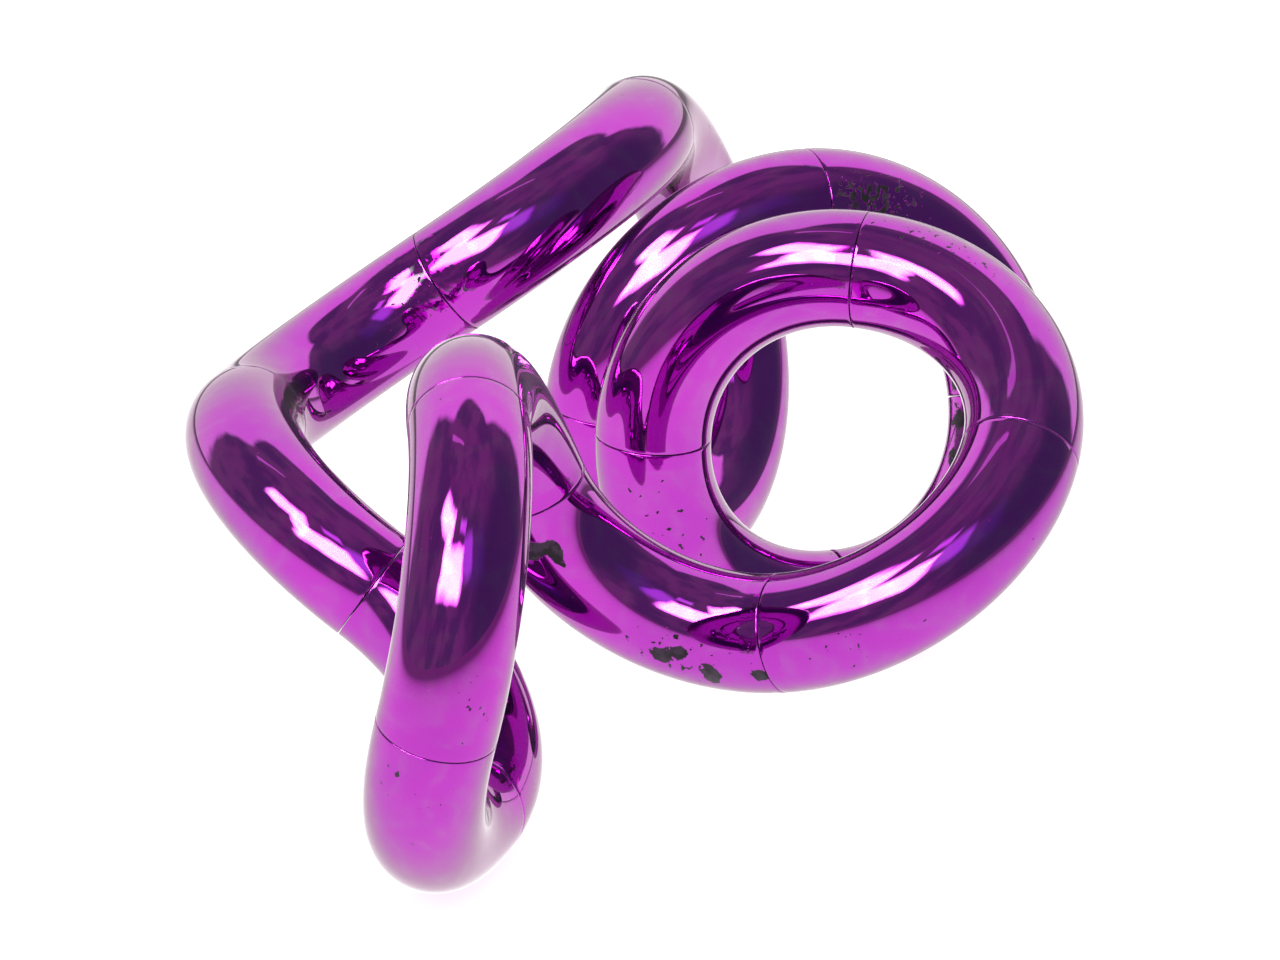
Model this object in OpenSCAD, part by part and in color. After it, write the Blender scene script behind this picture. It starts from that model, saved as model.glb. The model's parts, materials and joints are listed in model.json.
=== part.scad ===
// A closed chain of quarter-bend tube links. Every link swivels on the next one about
// the tube's own axis, on a snap pin that crosses the seam between them. The chain is
// drawn as it stands on a table, with the bends turned to the angles set below.

/* [Links] */
// Radius of each quarter bend, to the middle of the tube
bend_r = 20; // [19:0.5:26]
// Outside diameter of the tube
tube_d = 11.5; // [9.5:0.1:12.5]
// Thickness of the tube's wall
wall_t = 1.5; // [1.2:0.1:2]
// Gap between the end faces of two links
face_gap = 0.15; // [0.1:0.05:0.4]
// Gap between the end faces at the pivot that is left open
open_gap = 0.6; // [0.4:0.05:1]

/* [Swivel pins] */
// Thickness of the collar that a pin turns in
collar_t = 3.2; // [2.5:0.1:4]
// How far the collar stands in from the inside of the tube
collar_w = 1.2; // [1:0.1:1.8]
// Thickness of the plug that a pin is fixed in
plug_t = 4; // [3:0.1:5]
// Play around a pin in its collar
pin_play = 0.05; // [0.02:0.01:0.1]
// Play around the pin at the pivot that is left open
open_play = 0.5; // [0.3:0.05:0.6]
// How far the snap rim stands out past the pin
rim_w = 0.35; // [0.2:0.05:0.5]
// Thickness of the snap rim
rim_t = 1; // [0.6:0.1:1.4]
// Play between the snap rim and the back of the collar
rim_play = 0.15; // [0.1:0.05:0.3]
// Wall left round the hole down the pin
pin_wall_t = 1.2; // [0.8:0.1:1.3]
// Width of the slot that lets the pin spring
slot_w = 0.8; // [0.5:0.1:1.2]

/* [Swivel angles] */
// Swivel between links 1 and 2, where 0 keeps bending round the same ring
swivel_1 = 5.5; // [4.5:0.5:6.5]
// Swivel between links 2 and 3
swivel_2 = -28; // [-29:0.5:-27]
// Swivel between links 3 and 4
swivel_3 = -35.5; // [-36.5:0.5:-34.5]
// Swivel between links 4 and 5
swivel_4 = -27; // [-28:0.5:-26]
// Swivel between links 5 and 6
swivel_5 = 23.5; // [22.5:0.5:24.5]
// Swivel between links 6 and 7
swivel_6 = -72; // [-73:0.5:-71]
// Swivel between links 7 and 8
swivel_7 = -178; // [-179:0.5:-177]
// Swivel between links 8 and 9
swivel_8 = -71; // [-72:0.5:-70]
// Swivel between links 9 and 10
swivel_9 = -161; // [-162:0.5:-160]
// Swivel between links 10 and 11
swivel_10 = -71; // [-72:0.5:-70]
// Swivel between links 11 and 12
swivel_11 = 24.5; // [23.5:0.5:25.5]
// Swivel between links 12 and 13
swivel_12 = -32; // [-33:0.5:-31]
// Way that link 1 points, seen from above, from the X axis
heading = 19.5; // [0:0.5:360]

/* [Hidden] */
$fn = 96;
links = 18;

tube_r = tube_d / 2;
core_r = tube_r - wall_t;
collar_r = core_r - collar_w;
pin_r = collar_r - pin_play;
open_pin_r = collar_r - open_play;
// The core ends on planes through the bend's own axis, so the collar and the plug are
// wedges, and what passes through them is as long as their thick side
collar_a = asin(collar_t / bend_r);
plug_a = asin(plug_t / bend_r);
collar_back = (bend_r + collar_r) * tan(collar_a);
plug_back = (bend_r + pin_r) * tan(plug_a);
seat_t = (bend_r - pin_r) * tan(plug_a);
rim_z = (bend_r + pin_r + rim_w) * tan(collar_a) + rim_play;
cut = 0.5;

// ---- The angles. Twelve swivels are set by hand and four more are worked out so that
// the chain closes; the last two follow from the end faces that then meet.
set_by_hand = [swivel_1, swivel_2, swivel_3, swivel_4, swivel_5, swivel_6,
    swivel_7, swivel_8, swivel_9, swivel_10, swivel_11, swivel_12];
// About where the four that close the chain lie
closing_guess = [-66, -78, 18.5, -58.5];
newton_steps = 12;
nudge = 0.001;

function unit(v) = v / norm(v);
// v turned by angle a about the unit axis k, where v is square to k
function turned(v, k, a) = v * cos(a) + cross(k, v) * sin(a);

// The way the tube runs at each seam. Link n runs from tangent n - 1 to tangent n.
function tangents(swivels, t = [[1, 0, 0], [0, 1, 0]]) =
    let (n = len(t))
    n == links ? t :
    tangents(swivels, concat(t, [turned(-t[n - 2], t[n - 1], swivels[n - 2])]));

// How far the end of the last link misses the start of the first, and how far it is
// from running square to the first link's own start
function misfit(swivels) =
    let (
        t = tangents(swivels),
        ones = [for (v = t) 1],
        miss = (2 * bend_r + face_gap) * (ones * t) + (open_gap - face_gap) * t[0]
    )
    concat(miss, [bend_r * (t[links - 1] * t[0])]);

// Gauss elimination on rows of [coefficients, right side]
function largest(rows, k = 0, best = 0) =
    k == len(rows) ? best :
    largest(rows, k + 1, abs(rows[k][0]) > abs(rows[best][0]) ? k : best);
function solved(rows) =
    let (
        k = largest(rows),
        n = len(rows),
        pivot = rows[k] / rows[k][0]
    )
    n == 1 ? [pivot[1]] :
    let (
        smaller = [for (i = [0:n - 1]) if (i != k)
            let (row = rows[i] - pivot * rows[i][0]) [for (j = [1:n]) row[j]]],
        tail = solved(smaller),
        known = [for (j = [1:n - 1]) pivot[j]]
    )
    concat([pivot[n] - known * tail], tail);

function closed(guess, steps = newton_steps) =
    steps == 0 ? guess :
    let (
        n = len(guess),
        now = misfit(concat(set_by_hand, guess)),
        slopes = [for (j = [0:n - 1])
            let (moved = [for (i = [0:n - 1]) guess[i] + (i == j ? nudge : 0)])
            (misfit(concat(set_by_hand, moved)) - now) / nudge],
        rows = [for (i = [0:n - 1]) concat([for (j = [0:n - 1]) slopes[j][i]], [now[i]])]
    )
    closed(guess - solved(rows), steps - 1);

// ---- The chain, with link 1's start at the middle of the open seam
chain_t = tangents(concat(set_by_hand, closed(closing_guess)));
function half_gap(seam) = (seam % links == 0 ? open_gap : face_gap) / 2;
function seams(p = [[0, 0, 0]]) =
    let (n = len(p), t0 = chain_t[n - 1], t1 = chain_t[n % links])
    n == links ? p :
    seams(concat(p, [p[n - 1] + (half_gap(n - 1) + bend_r) * t0 + (half_gap(n) + bend_r) * t1]));
chain_p = seams();

// ---- The table. The chain stands on three links, and its lowest points on them set
// which way is down.
feet = [1, 4, 11];
first_down = [0, -0.93, -0.36];
settling_steps = 8;

// Along link n's middle line, a from 0 to 90
function along(t, p, n, a) =
    let (t0 = t[n - 1], t1 = t[n % links])
    p[n - 1] + half_gap(n - 1) * t0 + bend_r * (sin(a) * t0 + (1 - cos(a)) * t1);
// The angle at which link n goes furthest in direction d
function furthest(t, n, d) =
    let (ahead = t[n - 1] * d, aside = -(t[n % links] * d), a = atan2(ahead, aside))
    a >= 0 && a <= 90 ? a : ahead > aside ? 90 : 0;
function reach(t, p, n, d) = along(t, p, n, furthest(t, n, d)) * d;

function settled(down, steps = settling_steps) =
    steps == 0 ? down :
    let (
        f = [for (n = feet) along(chain_t, chain_p, n, furthest(chain_t, n, down))],
        normal = unit(cross(f[1] - f[0], f[2] - f[0]))
    )
    settled(normal * down > 0 ? normal : -normal, steps - 1);

up = -settled(unit(first_down));
ahead_axis = unit(chain_t[0] - (chain_t[0] * up) * up);
left_axis = cross(up, ahead_axis);
to_table = [
    cos(heading) * ahead_axis - sin(heading) * left_axis,
    sin(heading) * ahead_axis + cos(heading) * left_axis,
    up
];
table_t = [for (t = chain_t) to_table * t];
turned_p = [for (p = chain_p) to_table * p];
function furthest_out(d) = max([for (n = [1:links]) reach(table_t, turned_p, n, d)]);
middle = [
    (furthest_out([1, 0, 0]) - furthest_out([-1, 0, 0])) / 2,
    (furthest_out([0, 1, 0]) - furthest_out([0, -1, 0])) / 2,
    -furthest_out([0, 0, -1]) - tube_r
];
table_p = [for (p = turned_p) p - middle];

// ---- The pieces
module at(x, y, z, p) {
    multmatrix([
        [x[0], y[0], z[0], p[0]],
        [x[1], y[1], z[1], p[1]],
        [x[2], y[2], z[2], p[2]]
    ])
    children();
}

module bent_rod(r, angle) {
    rotate_extrude(angle = angle)
    translate([bend_r, 0])
    circle(r = r);
}

// A quarter bend about Z that starts on the X axis, hollow between its two ends. The
// collar is at the start and the plug, bored for a pin of radius seat_r, at the end.
module elbow(seat_r) {
    difference() {
        bent_rod(tube_r, 90);
        rotate([0, 0, collar_a])
        bent_rod(core_r, 90 - collar_a - plug_a);
        translate([bend_r, -cut, 0])
        rotate([-90, 0, 0])
        cylinder(r = collar_r, h = collar_back + 2 * cut);
        translate([-cut, bend_r, 0])
        rotate([0, 90, 0])
        cylinder(r = seat_r, h = plug_back + 2 * cut);
    }
}

// A snap pin along Z, with the middle of the seam at the origin. It is fixed below and
// turns above, where its split end springs through the collar.
module snap_pin(r, gap) {
    rim_from = gap + rim_z;
    rim_to = rim_from + rim_t;
    tip = rim_to + rim_w + rim_t;
    difference() {
        union() {
            translate([0, 0, -gap - seat_t])
            cylinder(r = r, h = seat_t + gap + tip);
            translate([0, 0, rim_from])
            cylinder(r = r + rim_w, h = rim_t);
            translate([0, 0, rim_to])
            cylinder(r1 = r + rim_w, r2 = r, h = rim_w);
        }
        translate([0, 0, gap])
        cylinder(r = r - pin_wall_t, h = tip);
        translate([-r - 2 * rim_w, -slot_w / 2, gap])
        cube([2 * r + 4 * rim_w, slot_w, tip]);
    }
}

function pin_radius(seam) = seam == links ? open_pin_r : pin_r;

module link(n) {
    start_t = table_t[n - 1];
    end_t = table_t[n % links];
    start_p = table_p[n - 1] + half_gap(n - 1) * start_t;
    color([0.6, 0.1, 0.72])
    at(-end_t, start_t, cross(start_t, end_t), start_p + bend_r * end_t)
    elbow(pin_radius(n));
}

module pin(n) {
    axis = table_t[n % links];
    side = table_t[n - 1];
    color([0.16, 0.17, 0.18])
    at(side, cross(axis, side), axis, table_p[n % links])
    snap_pin(pin_radius(n), half_gap(n));
}

function numbered(word, n) = str(word, n < 10 ? "0" : "", n);

for (n = [1:links]) {
    link(n);
    pin(n);
}
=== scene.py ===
import json
import math
import bmesh
import bpy
from mathutils import Matrix, Vector

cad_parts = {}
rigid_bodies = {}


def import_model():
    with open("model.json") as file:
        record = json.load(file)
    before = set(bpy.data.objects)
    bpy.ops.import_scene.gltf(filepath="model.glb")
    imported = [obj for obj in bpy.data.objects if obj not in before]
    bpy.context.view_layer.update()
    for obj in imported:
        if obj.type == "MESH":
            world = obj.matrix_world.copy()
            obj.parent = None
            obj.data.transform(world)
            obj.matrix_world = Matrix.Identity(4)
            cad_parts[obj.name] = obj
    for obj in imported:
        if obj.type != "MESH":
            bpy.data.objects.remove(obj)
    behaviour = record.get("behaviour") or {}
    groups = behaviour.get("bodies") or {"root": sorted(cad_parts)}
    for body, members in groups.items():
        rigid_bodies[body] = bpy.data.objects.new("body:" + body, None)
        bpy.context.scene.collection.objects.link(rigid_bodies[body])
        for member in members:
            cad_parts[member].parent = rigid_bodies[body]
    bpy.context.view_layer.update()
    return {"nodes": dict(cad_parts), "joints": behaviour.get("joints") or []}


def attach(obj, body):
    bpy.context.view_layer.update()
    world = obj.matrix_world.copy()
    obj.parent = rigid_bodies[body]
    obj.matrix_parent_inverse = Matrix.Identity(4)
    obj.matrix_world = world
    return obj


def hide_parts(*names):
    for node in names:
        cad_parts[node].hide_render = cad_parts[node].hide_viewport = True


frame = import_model()
bpy.ops.object.select_all(action="DESELECT")

mm = 0.001
linkCount = 18


def say(stage):
    print("snake puzzle:", stage)


# ---- where the chain runs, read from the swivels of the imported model
chain = {
    "faceGap": 0.15 * mm,
    "openGap": 0.6 * mm,
    "closeUp": 0.15 * mm,
    "closeUpOver": 15,       # degrees
}


def readChain():
    seamAt, tangent = {}, {}
    for j in frame["joints"]:
        first, second = (int(w) for w in j["name"].split("_")[1:3])
        onward = 1 if int(j["parent"].split("_")[1]) == first else -1
        seamAt[first] = Vector(j["pos_m"])
        tangent[first] = (Vector(j["axis"]) * onward).normalized()
    step = (seamAt[2] - seamAt[1]).length / math.sqrt(2)  # bend radius and half a gap
    ahead = seamAt[1] - seamAt[17] - step * (tangent[1] + tangent[17])
    tangent[0] = tangent[18] = ahead.normalized()
    seamAt[0] = seamAt[18] = seamAt[1] - step * tangent[1] - (ahead.length / 2) * tangent[0]
    return seamAt, tangent, step - chain["faceGap"] / 2


seamAt, tangent, bendRadius = readChain()


def halfGap(seam):
    return chain["openGap" if seam % linkCount == 0 else "faceGap"] / 2


def linkPlace(n):
    # columns: from the bend's middle to its start, along its start, and the bend's axis
    startT, endT = tangent[n - 1], tangent[n]
    middle = seamAt[n - 1] + halfGap(n - 1) * startT + bendRadius * endT
    axes = Matrix((-endT, startT, startT.cross(endT))).transposed()
    return Matrix.Translation(middle) @ axes.to_4x4()


say("chain read, bend radius %.2f mm" % (bendRadius / mm))


# ---- small helpers for edit mode
def editing(piece):
    bpy.context.view_layer.objects.active = piece
    piece.select_set(True)
    bpy.ops.object.mode_set(mode="EDIT")
    bpy.ops.mesh.select_mode(type="EDGE")
    bpy.ops.mesh.select_all(action="DESELECT")
    return bmesh.from_edit_mesh(piece.data)


def pickEdges(piece, wanted):
    bpy.ops.mesh.select_all(action="DESELECT")
    bm = bmesh.from_edit_mesh(piece.data)
    for e in bm.edges:
        if wanted(e):
            e.select = True
    bm.select_flush(True)
    bmesh.update_edit_mesh(piece.data)


def openEdge(e):
    return len(e.link_faces) == 1


def aroundBend(point):
    return math.atan2(point.y, point.x)


def fromMiddleLine(point):
    return math.hypot(math.hypot(point.x, point.y) - bendRadius, point.z)


# ---- one plated link, a quarter of a ring about Z that starts on the X axis
link = {
    "radius": 5.75 * mm,
    "wall": 1.5 * mm,
    "lip": 2.15 * mm,        # how far the end face reaches in from the outside
    "lipDepth": 3.2 * mm,
    "rimRound": 0.085 * mm,
    "rimSteps": 3,
    "overrun": 0.035 * mm,   # how far each end runs into the gap, so that the seam reads as a thin line
    "around": 120,
    "along": 84,
    "boreSteps": 28,
    "smoothTo": 50,          # degrees
    "sameAngle": 1e-4,       # radians
    "weld": 1e-6,            # metres
}


def modelLink():
    overrun = link["overrun"] / bendRadius
    first, last = -overrun, math.pi / 2 + overrun
    lipAngle = link["lipDepth"] / bendRadius
    lipRadius = link["radius"] - link["lip"]
    boreRadius = link["radius"] - link["wall"]
    onSkin = link["radius"] * 0.99    # anything further out than this is the outer surface
    bpy.ops.mesh.primitive_circle_add(
        vertices=link["around"], radius=link["radius"],
        location=(bendRadius, 0, 0), rotation=(math.pi / 2, 0, 0))
    piece = bpy.context.object
    bpy.ops.object.transform_apply(location=True, rotation=True, scale=True)
    editing(piece)
    bpy.ops.mesh.select_all(action="SELECT")
    bpy.ops.transform.rotate(value=overrun, orient_axis="Z", center_override=(0, 0, 0))
    bpy.ops.mesh.spin(steps=link["along"], angle=last - first, center=(0, 0, 0), axis=(0, 0, -1))
    for angle, turn in ((first, lipAngle), (last, -lipAngle)):
        onEnd = Vector((math.cos(angle), math.sin(angle), 0)) * bendRadius
        onLip = Vector((math.cos(angle + turn), math.sin(angle + turn), 0)) * bendRadius
        pickEdges(piece, lambda e: openEdge(e) and all(
            abs(aroundBend(v.co) - angle) < link["sameAngle"] and fromMiddleLine(v.co) > onSkin
            for v in e.verts))
        bpy.ops.mesh.extrude_edges_move()
        bpy.ops.transform.resize(value=(lipRadius / link["radius"],) * 3, center_override=onEnd)
        bpy.ops.mesh.extrude_edges_move()
        bpy.ops.transform.rotate(value=-turn, orient_axis="Z", center_override=(0, 0, 0))
        bpy.ops.mesh.extrude_edges_move()
        bpy.ops.transform.resize(value=(boreRadius / lipRadius,) * 3, center_override=onLip)
    pickEdges(piece, lambda e: openEdge(e) and aroundBend(e.verts[0].co) < math.pi / 4)
    bpy.ops.mesh.spin(steps=link["boreSteps"], angle=last - first - 2 * lipAngle,
                      center=(0, 0, 0), axis=(0, 0, -1))
    bpy.ops.mesh.select_all(action="SELECT")
    bpy.ops.mesh.remove_doubles(threshold=link["weld"])
    pickEdges(piece, lambda e: all(
        min(abs(aroundBend(v.co) - first), abs(aroundBend(v.co) - last)) < link["sameAngle"]
        and fromMiddleLine(v.co) > onSkin for v in e.verts))
    bpy.ops.mesh.bevel(offset=link["rimRound"], segments=link["rimSteps"], affect="EDGES")
    bpy.ops.mesh.select_all(action="SELECT")
    bpy.ops.mesh.normals_make_consistent(inside=False)
    bpy.ops.object.mode_set(mode="OBJECT")
    bpy.ops.object.shade_smooth_by_angle(angle=math.radians(link["smoothTo"]))
    return piece


def mapLink(piece):
    # a map that runs along the tube and round it
    mesh = piece.data
    uv = mesh.uv_layers.new(name="alongTube")
    for face in mesh.polygons:
        turns = []
        for i in face.vertices:
            co = mesh.vertices[i].co
            turns.append(math.atan2(co.z, math.hypot(co.x, co.y) - bendRadius) / (2 * math.pi))
        for corner, i, turn in zip(face.loop_indices, face.vertices, turns):
            if max(turns) - min(turns) > 0.5 and turn < 0:
                turn += 1
            uv.data[corner].uv = (aroundBend(mesh.vertices[i].co) / (math.pi / 2), turn + 0.5)


# ---- worn places: degrees along the link, degrees round it from its outer side,
# reach in mm along and round the tube, and how strong
chips = {
    14: [(11, 100, 1.25, 1.4, 1), (14.5, 116, 1.5, 0.7, 1), (60, 90, 1.2, 0.8, 1), (64, 100, 1.1, 0.8, 0.9),
         (74, 80, 1.0, 1.2, 1), (88, 84, 1.0, 0.7, 0.9), (63, 115, 0.4, 0.4, 0.8)],
    11: [(84, 12, 0.5, 0.35, 0.8), (46, -120, 1.2, 0.9, 0.8)],
    12: [(10, -36, 0.5, 1.0, 0.55)],
    5: [(70, 40, 1.6, 1.2, 0.9), (20, -60, 1.1, 0.9, 0.9)],
    1: [(82, 166, 1.6, 1.3, 0.8), (66, 163, 1.1, 0.9, 0.8)],
    2: [(4, 172, 1.4, 1.2, 0.8), (60, -100, 1.2, 1.4, 0.9)],
    4: [(30, -90, 1.5, 1.2, 0.9)],
    17: [(50, -120, 1.3, 1.0, 0.9)],
}
specks = {
    18: [(18, 78, 5.5, 3.5, 0.6)],
    16: [(68, 66, 9, 2.2, 0.7)],
    2: [(77, 84, 4.5, 2.2, 1.5)],
    15: [(22, 18, 4, 2, 0.5)],
    14: [(66, 95, 6, 3, 0.8)],
    11: [(78, 5, 4, 4, 0.35)],
    12: [(10, -20, 3, 3, 0.4)],
    8: [(12, 165, 4, 2.5, 0.5)],
    1: [(75, 165, 5, 2.5, 0.9)],
    4: [(40, -80, 5, 4, 0.7)],
    6: [(50, 60, 6, 5, 0.5)],
}
# plating paler in places: partly worn, partly painted sheen, a whitish haze of light painted into the colour
wearAndSheen = {6: [(66, 118, 9, 4, 1)], 2: [(82, 150, 6, 3, 0.5)]}
# where the plating is crumpled, by link: degrees along it, distance in mm at which it fades, strength
crumpled = {8: (0, 6.5, 1), 7: (90, 3.5, 0.8), 14: (90, 2.2, 0.8), 13: (90, 2.0, 0.5), 10: (90, 3.0, 0.9),
            11: (0, 2.0, 0.5), 3: (0, 1.5, 0.4), 16: (90, 1.5, 0.5), 9: (0, 2.5, 0.6)}
crumpledElsewhere = (0, 1.2, 0.12)


def paint(mesh, name, marks):
    layer = mesh.attributes.new(name, "FLOAT", "POINT")
    tubeRadius = link["radius"]
    for v in mesh.vertices:
        along = math.degrees(aroundBend(v.co))
        out = math.hypot(v.co.x, v.co.y) - bendRadius
        turn = math.degrees(math.atan2(v.co.z, out))
        best = 0
        for atAlong, atTurn, reachAlong, reachTurn, strength in marks:
            off = (turn - atTurn + 180) % 360 - 180
            a = math.radians(along - atAlong) * (bendRadius + out) / (reachAlong * mm)
            b = math.radians(off) * tubeRadius / (reachTurn * mm)
            best = max(best, strength * max(0, 1 - math.hypot(a, b) / 2))
        layer.data[v.index].value = best


def crumple(mesh, n):
    layer = mesh.attributes.new("crumpled", "FLOAT", "POINT")
    at, reach, strength = crumpled.get(n, crumpledElsewhere)
    for v in mesh.vertices:
        run = math.radians(abs(math.degrees(aroundBend(v.co)) - at)) * bendRadius / mm
        layer.data[v.index].value = strength * max(0, 1 - run / reach)


def closeUp(mesh, n):
    # the two ends at the open pivot lean into its wider gap, and fade back along the link
    at, side = {1: (0, -1), linkCount: (90, 1)}.get(n, (0, 0))
    reach = side * chain["closeUp"] / bendRadius
    for v in mesh.vertices:
        near = max(0, 1 - abs(math.degrees(aroundBend(v.co)) - at) / chain["closeUpOver"])
        if reach and near:
            v.co = Matrix.Rotation(reach * near, 3, "Z") @ v.co


master = modelLink()
mapLink(master)
master.name = "link_master"
say("one link modelled, %d faces" % len(master.data.polygons))

tubes = {}
for n in range(1, linkCount + 1):
    mesh = master.data.copy()
    paint(mesh, "chipped", chips.get(n, []))
    paint(mesh, "specked", specks.get(n, []))
    paint(mesh, "wearAndSheen", wearAndSheen.get(n, []))
    crumple(mesh, n)
    closeUp(mesh, n)
    mesh.transform(linkPlace(n))
    tube = bpy.data.objects.new("plated_link_%02d" % n, mesh)
    bpy.context.scene.collection.objects.link(tube)
    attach(tube, "section_%02d" % n)
    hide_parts("link_%02d" % n)
    tubes[n] = tube
bpy.data.objects.remove(master)
say("%d links copied along the chain" % len(tubes))


# ---- small helpers for node trees
def mathNode(tree, operation, *values):
    node = tree.nodes.new("ShaderNodeMath")
    node.operation = operation
    for slot, value in zip(node.inputs, values):
        if isinstance(value, (int, float)):
            slot.default_value = value
        else:
            tree.links.new(value, slot)
    return node.outputs[0]


def fadeNode(tree, value, start, end, low=0, high=1):
    # a smooth step from low at start to high at end
    node = tree.nodes.new("ShaderNodeMapRange")
    node.interpolation_type = "SMOOTHSTEP"
    tree.links.new(value, node.inputs["Value"])
    for name, number in (("From Min", start), ("From Max", end), ("To Min", low), ("To Max", high)):
        node.inputs[name].default_value = number
    return node.outputs["Result"]


def tintNode(tree, mask, first, second):
    node = tree.nodes.new("ShaderNodeMix")
    node.data_type = "RGBA"
    node.clamp_factor = True
    ins = [s for s in node.inputs if s.type == "RGBA"]
    tree.links.new(mask, node.inputs[0])
    for slot, value in zip(ins, (first, second)):
        if isinstance(value, tuple):
            slot.default_value = value
        else:
            tree.links.new(value, slot)
    return [s for s in node.outputs if s.type == "RGBA"][0]


def noiseNode(tree, place, scale, detail=3, rough=0.5, warp=0.0):
    node = tree.nodes.new("ShaderNodeTexNoise")
    tree.links.new(place, node.inputs["Vector"])
    for name, number in (("Scale", scale), ("Detail", detail), ("Roughness", rough), ("Distortion", warp)):
        node.inputs[name].default_value = number
    return node.outputs["Fac"]


def attributeNode(tree, name):
    node = tree.nodes.new("ShaderNodeAttribute")
    node.attribute_name = name
    return node.outputs["Fac"]


def newMaterial(name):
    made = bpy.data.materials.new(name)
    made.use_nodes = True
    return made, made.node_tree, made.node_tree.nodes["Principled BSDF"]


# ---- fine marks that the plating and the pins share
marks = {
    "stretch": (5, 95, 1),     # long along the tube, thin round it
    "lean": 0.12,
    "lineGrain": 3.2,
    "lineCut": (0.685, 0.72),
    "smearGrain": 140,
    "smearCut": (0.45, 0.75),
}


def fineMarksGroup():
    group = bpy.data.node_groups.new("fine_marks", "ShaderNodeTree")
    group.interface.new_socket("Place", in_out="INPUT", socket_type="NodeSocketVector")
    group.interface.new_socket("Run", in_out="INPUT", socket_type="NodeSocketVector")
    group.interface.new_socket("Amount", in_out="INPUT", socket_type="NodeSocketFloat")
    group.interface.new_socket("Scratch", in_out="OUTPUT", socket_type="NodeSocketFloat")
    group.interface.new_socket("Smear", in_out="OUTPUT", socket_type="NodeSocketFloat")
    ins, outs = group.nodes.new("NodeGroupInput"), group.nodes.new("NodeGroupOutput")
    stretch = group.nodes.new("ShaderNodeMapping")
    stretch.inputs["Scale"].default_value = marks["stretch"]
    stretch.inputs["Rotation"].default_value = (0, 0, marks["lean"])
    group.links.new(ins.outputs["Run"], stretch.inputs["Vector"])
    lines = noiseNode(group, stretch.outputs[0], marks["lineGrain"], 2, 0.4, 0.5)
    thin = fadeNode(group, lines, *marks["lineCut"])
    clouds = noiseNode(group, ins.outputs["Place"], marks["smearGrain"], 4, 0.6, 0.6)
    smear = fadeNode(group, clouds, *marks["smearCut"])
    group.links.new(mathNode(group, "MULTIPLY", thin, ins.outputs["Amount"]), outs.inputs["Scratch"])
    group.links.new(mathNode(group, "MULTIPLY", smear, ins.outputs["Amount"]), outs.inputs["Smear"])
    return group


fineMarks = fineMarksGroup()


def addFineMarks(tree, place, run, amount):
    node = tree.nodes.new("ShaderNodeGroup")
    node.node_tree = fineMarks
    tree.links.new(place, node.inputs["Place"])
    tree.links.new(run, node.inputs["Run"])
    node.inputs["Amount"].default_value = amount
    return node.outputs["Scratch"], node.outputs["Smear"]


# ---- plated finish
plating = {
    "purple": (0.462, 0.003, 0.472, 1),
    "deeper": (0.395, 0.003, 0.43, 1),
    # paler plating colour for places that are partly worn and partly painted sheen
    "pale": (0.58, 0.40, 0.55, 1),
    "edgeTint": (0.34, 0.07, 0.25, 1),
    "bare": (0.014, 0.020, 0.018, 1),      # the dark plastic under the plating
    "barePatch": (0.045, 0.036, 0.052, 1),
    "polish": 0.03,
    "lacquerPolish": 0.015,
    "lacquerIor": 1.5,
    "haze": 0.14,
    "hazeSpread": 0.3,
    "cloudGrain": 45,          # grains are noise scales, so a larger one is finer
    "chipGrain": 480,
    "chipRagged": 1.3,
    "chipCut": (0.50, 0.54),
    "speckGrain": 1500,
    "speckGather": 0.22,       # how much the painted places draw the specks together
    "speckCut": (0.765, 0.79),
    "bareGrain": 900,
    "wearAndSheenCut": (0.1, 0.7),
    "wearAndSheenMost": 0.75,
    "smearDull": 0.02,
    "scratchDull": 0.16,
    "bareDull": 0.38,
    "rippleGrain": 170,
    "ripple": 0.016 * mm,
    "crumpleGrain": 620,
    "crumple": 0.16 * mm,
    "chipDepth": 0.03 * mm,
    "scratchDepth": 0.002 * mm,
}


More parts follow.
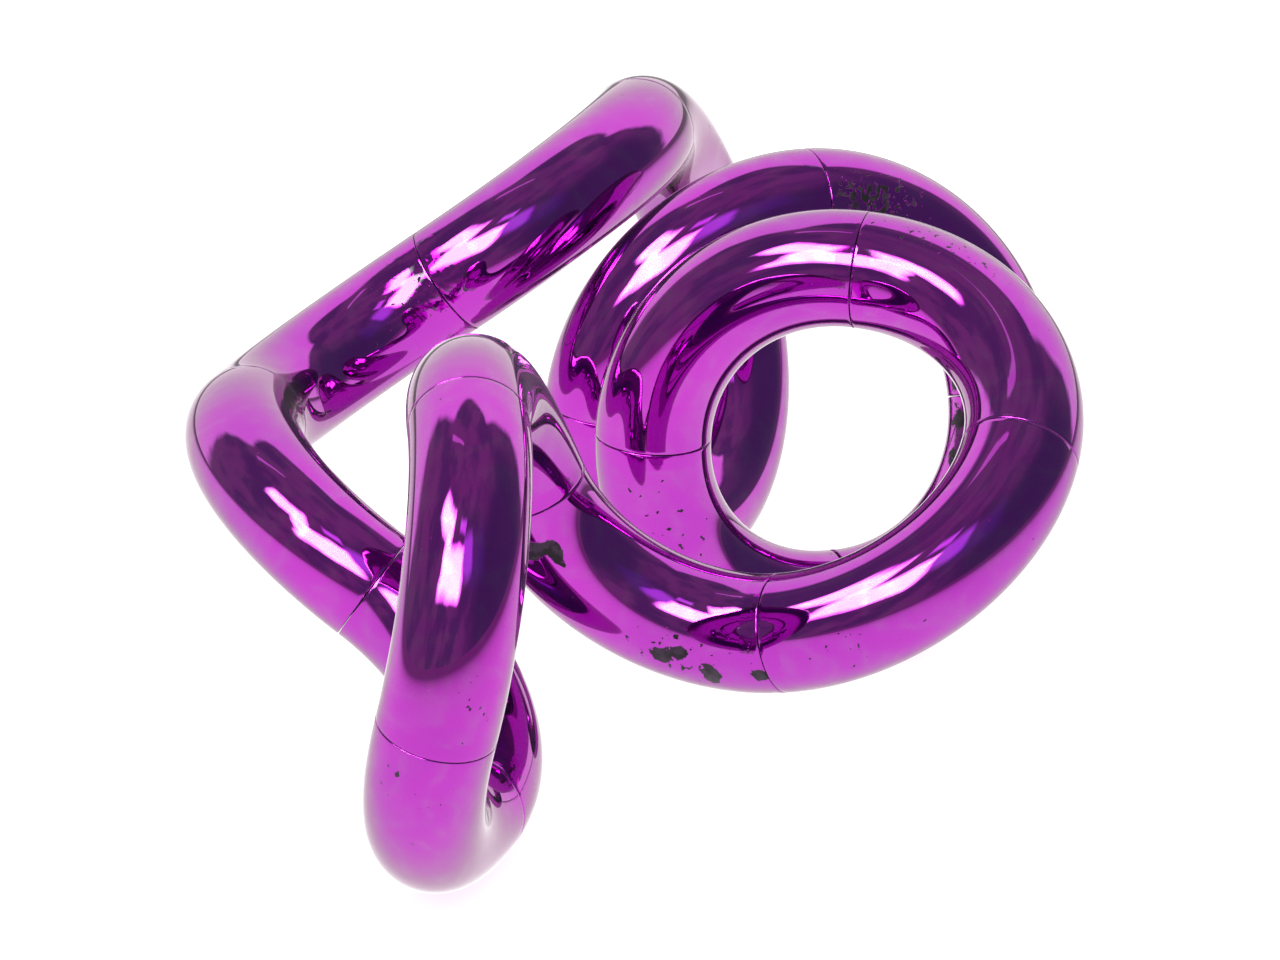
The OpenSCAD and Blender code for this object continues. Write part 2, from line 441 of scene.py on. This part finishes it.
def platedTube():
    made, tree, shader = newMaterial("purple_plating")
    coords = tree.nodes.new("ShaderNodeTexCoord")
    place, run = coords.outputs["Object"], coords.outputs["UV"]
    scratch, smear = addFineMarks(tree, place, run, 1.0)

    # chips and specks where the plating is gone
    ragged = mathNode(tree, "SUBTRACT", noiseNode(tree, place, plating["chipGrain"], 5, 0.7, 0.4), 0.5)
    ragged = mathNode(tree, "MULTIPLY", ragged, plating["chipRagged"])
    chip = fadeNode(tree, mathNode(tree, "ADD", attributeNode(tree, "chipped"), ragged), *plating["chipCut"])
    speck = mathNode(tree, "MULTIPLY_ADD", attributeNode(tree, "specked"), plating["speckGather"],
                     noiseNode(tree, place, plating["speckGrain"], 2, 0.5))
    gone = mathNode(tree, "MAXIMUM", chip, fadeNode(tree, speck, *plating["speckCut"]))

    # two close purples in soft clouds, the pale places (partly wear, partly painted sheen), and the plastic
    # where it is bare
    clouds = noiseNode(tree, place, plating["cloudGrain"], 3, 0.5)
    colour = tintNode(tree, fadeNode(tree, clouds, 0.35, 0.65), plating["purple"], plating["deeper"])
    # painted sheen mixed with wear: the base colour turns paler where a whitish haze of light is painted in
    pale = fadeNode(tree, attributeNode(tree, "wearAndSheen"), *plating["wearAndSheenCut"], 0, plating["wearAndSheenMost"])
    colour = tintNode(tree, pale, colour, plating["pale"])
    patches = noiseNode(tree, place, plating["bareGrain"], 2, 0.5)
    bare = tintNode(tree, fadeNode(tree, patches, 0.4, 0.65), plating["bare"], plating["barePatch"])
    tree.links.new(tintNode(tree, gone, colour, bare), shader.inputs["Base Color"])
    kept = mathNode(tree, "SUBTRACT", 1, gone)
    tree.links.new(kept, shader.inputs["Metallic"])
    tree.links.new(kept, shader.inputs["Coat Weight"])
    rough = mathNode(tree, "MULTIPLY_ADD", smear, plating["smearDull"], plating["polish"])
    rough = mathNode(tree, "MULTIPLY_ADD", scratch, plating["scratchDull"], rough)
    rough = mathNode(tree, "MULTIPLY_ADD", gone, plating["bareDull"], rough)
    tree.links.new(rough, shader.inputs["Roughness"])

    # slow ripples all over, crumpled plating at some seams, and the step down into a chip
    slow = noiseNode(tree, place, plating["rippleGrain"], 1, 0.4)
    height = mathNode(tree, "MULTIPLY", slow, plating["ripple"])
    crumbs = noiseNode(tree, place, plating["crumpleGrain"], 2, 0.5)
    crumbs = mathNode(tree, "MULTIPLY", crumbs, attributeNode(tree, "crumpled"))
    height = mathNode(tree, "MULTIPLY_ADD", crumbs, plating["crumple"], height)
    height = mathNode(tree, "MULTIPLY_ADD", gone, -plating["chipDepth"], height)
    height = mathNode(tree, "MULTIPLY_ADD", scratch, -plating["scratchDepth"], height)
    bump = tree.nodes.new("ShaderNodeBump")
    bump.inputs["Strength"].default_value = 1
    bump.inputs["Distance"].default_value = 1
    tree.links.new(height, bump.inputs["Height"])
    tree.links.new(bump.outputs[0], shader.inputs["Normal"])

    shader.inputs["Specular Tint"].default_value = plating["edgeTint"]
    shader.inputs["Coat Roughness"].default_value = plating["lacquerPolish"]
    shader.inputs["Coat IOR"].default_value = plating["lacquerIor"]
    shader.inputs["Sheen Weight"].default_value = plating["haze"]
    shader.inputs["Sheen Roughness"].default_value = plating["hazeSpread"]
    return made


# ---- dark moulded plastic of the pins
pinFinish = {
    "colour": (0.020, 0.019, 0.023, 1),
    "scuffed": (0.045, 0.043, 0.050, 1),
    "roughness": 0.42,
    "scuffDull": 0.18,
    "moulding": 0.01 * mm,
    "mouldingGrain": 2400,
}


def pinPlastic():
    made, tree, shader = newMaterial("pin_plastic")
    coords = tree.nodes.new("ShaderNodeTexCoord")
    place = coords.outputs["Object"]
    scratch, smear = addFineMarks(tree, place, place, 0.8)
    colour = tintNode(tree, smear, pinFinish["colour"], pinFinish["scuffed"])
    tree.links.new(colour, shader.inputs["Base Color"])
    rough = mathNode(tree, "MULTIPLY_ADD", smear, pinFinish["scuffDull"], pinFinish["roughness"])
    tree.links.new(rough, shader.inputs["Roughness"])
    bump = tree.nodes.new("ShaderNodeBump")
    bump.inputs["Strength"].default_value = 0.4
    bump.inputs["Distance"].default_value = 1
    grain = noiseNode(tree, place, pinFinish["mouldingGrain"])
    tree.links.new(mathNode(tree, "MULTIPLY", grain, pinFinish["moulding"]), bump.inputs["Height"])
    tree.links.new(bump.outputs[0], shader.inputs["Normal"])
    return made


platingMaterial, pinMaterial = platedTube(), pinPlastic()
for tube in tubes.values():
    tube.data.materials.clear()
    tube.data.materials.append(platingMaterial)
for name, node in frame["nodes"].items():
    if name.startswith("pin_"):
        node.data.materials.clear()
        node.data.materials.append(pinMaterial)
say("plating and pins finished")


# ---- the studio: a white sheet that rises behind, in a dim room with one window
studio = {
    "room": (0.27, 0.34, 0.28, 1),
    "roomDeep": (0.15, 0.22, 0.21, 1),
    "cornerTone": (0.095, 0.18, 0.16, 1),
    "sheet": 1.34,
    "sheetSide": (116, 123), # degrees either way from the viewer's side where the sheet begins
    "sheetLean": 0.2,        # how much further it reaches with height
    "sheetTop": (62.5, 58.5),
    "corner": {"at": (70, 22), "size": (95, 60), "soft": 34},
    "wobble": 10.5,          # degrees that the outlines wander
    "wobbleGrain": 3.6,
}
# middle and size of each pane in degrees round from the viewer's side and up, its soft
# edge, its light and its colour
panes = {
    "left": {"at": (-56, 51), "size": (36, 13), "soft": 7, "light": 15, "colour": (1, 1, 1, 1)},
    "main": {"at": (-25, 36), "size": (46, 20), "soft": 7, "light": 16, "colour": (1, 1, 1, 1)},
    "upper": {"at": (-10, 56), "size": (18, 6), "soft": 4, "light": 1.6, "colour": (0.75, 0.45, 1, 1)},
    "right": {"at": (9, 43), "size": (20, 18), "soft": 7, "light": 1.1, "colour": (0.55, 0.35, 1, 1)},
    "glow": {"at": (30, 38), "size": (30, 22), "soft": 14, "light": 0.12, "colour": (0.3, 0.3, 1, 1)},
    "strip": {"at": (-118, 71), "size": (7, 18), "soft": 2, "light": 0.7, "colour": (1, 1, 1, 1)},
}


def paneMask(tree, across, up, pane):
    masks = []
    for angle, middle, size in ((across, pane["at"][0], pane["size"][0]), (up, pane["at"][1], pane["size"][1])):
        off = mathNode(tree, "ABSOLUTE", mathNode(tree, "SUBTRACT", angle, middle))
        masks.append(fadeNode(tree, off, size / 2 + pane["soft"] / 2, size / 2 - pane["soft"] / 2))
    return mathNode(tree, "MULTIPLY", *masks)


def buildRoom():
    world = bpy.data.worlds.new("studio")
    bpy.context.scene.world = world
    world.use_nodes = True
    tree = world.node_tree
    tree.nodes.clear()
    where = tree.nodes.new("ShaderNodeTexCoord").outputs["Generated"]
    split = tree.nodes.new("ShaderNodeSeparateXYZ")
    tree.links.new(where, split.inputs[0])
    noise = tree.nodes.new("ShaderNodeTexNoise")
    noise.inputs["Scale"].default_value = studio["wobbleGrain"]
    noise.inputs["Detail"].default_value = 3
    tree.links.new(where, noise.inputs["Vector"])
    wave = tree.nodes.new("ShaderNodeSeparateColor")
    tree.links.new(noise.outputs["Color"], wave.inputs[0])
    toDegrees = 180 / math.pi
    across = mathNode(tree, "MULTIPLY", mathNode(
        tree, "ARCTAN2", split.outputs["X"], mathNode(tree, "MULTIPLY", split.outputs["Y"], -1)), toDegrees)
    up = mathNode(tree, "MULTIPLY", mathNode(tree, "ARCSINE", split.outputs["Z"]), toDegrees)
    wobbleUp = mathNode(tree, "MULTIPLY_ADD", mathNode(tree, "SUBTRACT", wave.outputs[0], 0.5),
                        studio["wobble"], up)
    wobbleAcross = mathNode(tree, "MULTIPLY_ADD", mathNode(tree, "SUBTRACT", wave.outputs[1], 0.5),
                            studio["wobble"], across)

    # dim room, deeper to the front right
    colour = tintNode(tree, fadeNode(tree, wave.outputs[2], 0.38, 0.64), studio["room"], studio["roomDeep"])
    corner = paneMask(tree, wobbleAcross, wobbleUp, studio["corner"])
    colour = tintNode(tree, corner, colour, studio["cornerTone"])
    # the sheet behind, higher in the middle than at its left side
    side = mathNode(tree, "ABSOLUTE", wobbleAcross)
    lean = mathNode(tree, "MULTIPLY_ADD", mathNode(tree, "MAXIMUM", up, 0), -studio["sheetLean"], side)
    sheetMask = mathNode(tree, "MULTIPLY", fadeNode(tree, lean, *studio["sheetSide"]),
                         fadeNode(tree, wobbleUp, *studio["sheetTop"]))
    colour = tintNode(tree, sheetMask, colour, (studio["sheet"],) * 3 + (1,))

    light = tree.nodes.new("ShaderNodeBackground")
    tree.links.new(colour, light.inputs["Color"])
    total = light.outputs[0]
    for pane in panes.values():
        extra = tree.nodes.new("ShaderNodeBackground")
        extra.inputs["Color"].default_value = pane["colour"]
        tree.links.new(mathNode(tree, "MULTIPLY", paneMask(tree, wobbleAcross, wobbleUp, pane), pane["light"]),
                       extra.inputs["Strength"])
        add = tree.nodes.new("ShaderNodeAddShader")
        tree.links.new(total, add.inputs[0])
        tree.links.new(extra.outputs[0], add.inputs[1])
        total = add.outputs[0]

    # only mirror reflections see the room; all else sees plain white
    plain = tree.nodes.new("ShaderNodeBackground")
    plain.inputs["Color"].default_value = (1, 1, 1, 1)
    rays = tree.nodes.new("ShaderNodeLightPath")
    choose = tree.nodes.new("ShaderNodeMixShader")
    tree.links.new(rays.outputs["Is Glossy Ray"], choose.inputs[0])
    tree.links.new(plain.outputs[0], choose.inputs[1])
    tree.links.new(total, choose.inputs[2])
    out = tree.nodes.new("ShaderNodeOutputWorld")
    tree.links.new(choose.outputs[0], out.inputs["Surface"])


floorSheet = {
    "size": 8,
    "white": 0.75,
    "glow": 0.75,
    "nearLight": 1.30,
    "farLight": 0.28,
    "brightAt": (-0.06, 0.12, 0),
    "brightTo": 0.15,
    "dimFrom": 0.6,
}


def buildFloor():
    bpy.ops.mesh.primitive_plane_add(size=floorSheet["size"], location=(0, 0, 0))
    floor = bpy.context.object
    floor.name = "floor"
    made, tree, shader = newMaterial("white_sheet")
    tree.nodes.remove(shader)
    diffuse = tree.nodes.new("ShaderNodeBsdfDiffuse")
    diffuse.inputs["Color"].default_value = (floorSheet["white"],) * 3 + (1,)
    glow = tree.nodes.new("ShaderNodeEmission")
    glow.inputs["Strength"].default_value = floorSheet["glow"]
    seen = tree.nodes.new("ShaderNodeAddShader")
    tree.links.new(diffuse.outputs[0], seen.inputs[0])
    tree.links.new(glow.outputs[0], seen.inputs[1])
    # in the mirror the sheet is brightest at the back and dims towards the viewer
    place = tree.nodes.new("ShaderNodeTexCoord").outputs["Object"]
    off = tree.nodes.new("ShaderNodeVectorMath")
    off.operation = "DISTANCE"
    off.inputs[1].default_value = floorSheet["brightAt"]
    tree.links.new(place, off.inputs[0])
    mirrored = tree.nodes.new("ShaderNodeEmission")
    tree.links.new(fadeNode(tree, off.outputs["Value"], floorSheet["brightTo"], floorSheet["dimFrom"],
                            floorSheet["nearLight"], floorSheet["farLight"]), mirrored.inputs["Strength"])
    rays = tree.nodes.new("ShaderNodeLightPath")
    choose = tree.nodes.new("ShaderNodeMixShader")
    tree.links.new(rays.outputs["Is Glossy Ray"], choose.inputs[0])
    tree.links.new(seen.outputs[0], choose.inputs[1])
    tree.links.new(mirrored.outputs[0], choose.inputs[2])
    tree.links.new(choose.outputs[0], tree.nodes["Material Output"].inputs["Surface"])
    floor.data.materials.append(made)


buildRoom()
buildFloor()
bpy.context.scene.view_settings.view_transform = "Standard"
bpy.context.scene.cycles.use_denoising = True
say("studio ready")

# ---- camera
view = {
    "place": (-0.00238, -0.91815, 0.34478),
    "heading": 0.21,     # turned to the right from straight ahead
    "downward": 19.198,
    "lens": 279.62,
    "sensor": 36,
}


def addCamera():
    data = bpy.data.cameras.new("camera")
    data.lens = view["lens"]
    data.sensor_width = view["sensor"]
    data.clip_start, data.clip_end = 0.05, 20
    camera = bpy.data.objects.new("camera", data)
    bpy.context.scene.collection.objects.link(camera)
    camera.location = view["place"]
    camera.rotation_euler = (math.radians(90 - view["downward"]), 0, math.radians(-view["heading"]))
    bpy.context.scene.camera = camera


addCamera()
